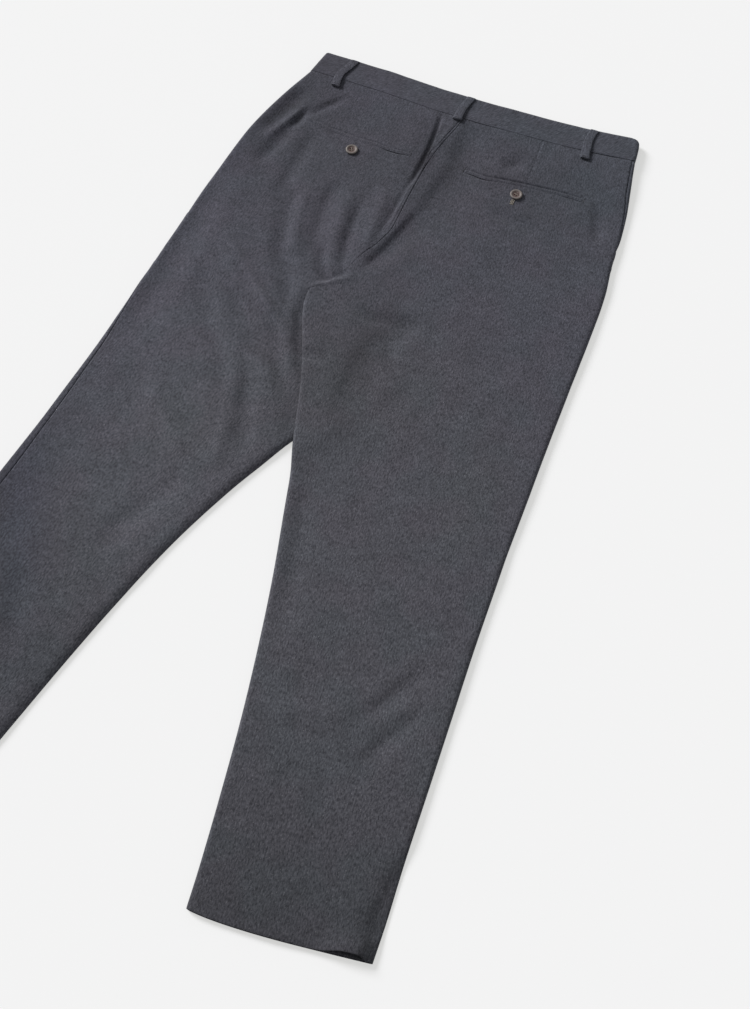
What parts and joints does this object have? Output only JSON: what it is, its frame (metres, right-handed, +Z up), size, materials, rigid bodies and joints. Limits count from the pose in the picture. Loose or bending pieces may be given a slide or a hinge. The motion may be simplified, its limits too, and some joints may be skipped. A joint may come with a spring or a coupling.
{
  "type": "chinos",
  "caption": "Men's slim chinos in heathered blue-grey twill, laid flat back side up, right leg lapped over the left at the crotch, jetted back pockets with buttons.",
  "frame": {"origin": "middle of the outline seen from above, on the surface the garment lies on", "axes": "+Y along the legs towards the waistband, +X towards the wearer's right leg, +Z up out of the surface, towards the back of the trousers"},
  "size_m": [0.6049, 1.0524, 0.0131],
  "materials": {
    "cloth": "matte heathered twill",
    "horn": "satin brown horn look"
  },
  "bodies": {
    "root": {"back_left": "cloth", "back_right": "cloth", "front_left": "cloth", "front_right": "cloth", "waistband_left": "cloth", "waistband_right": "cloth", "pocket_facing_left": "cloth", "pocket_facing_right": "cloth", "hem_left": "cloth", "hem_right": "cloth", "welt_left": "cloth", "welt_right": "cloth", "loop_back_left": "cloth", "loop_back_centre": "cloth", "loop_back_right": "cloth", "loop_front_left": "cloth", "loop_front_right": "cloth", "fly_shield": "cloth", "button_pocket_left": "horn", "button_pocket_right": "horn", "button_waist": "horn"}
  },
  "joints": []
}
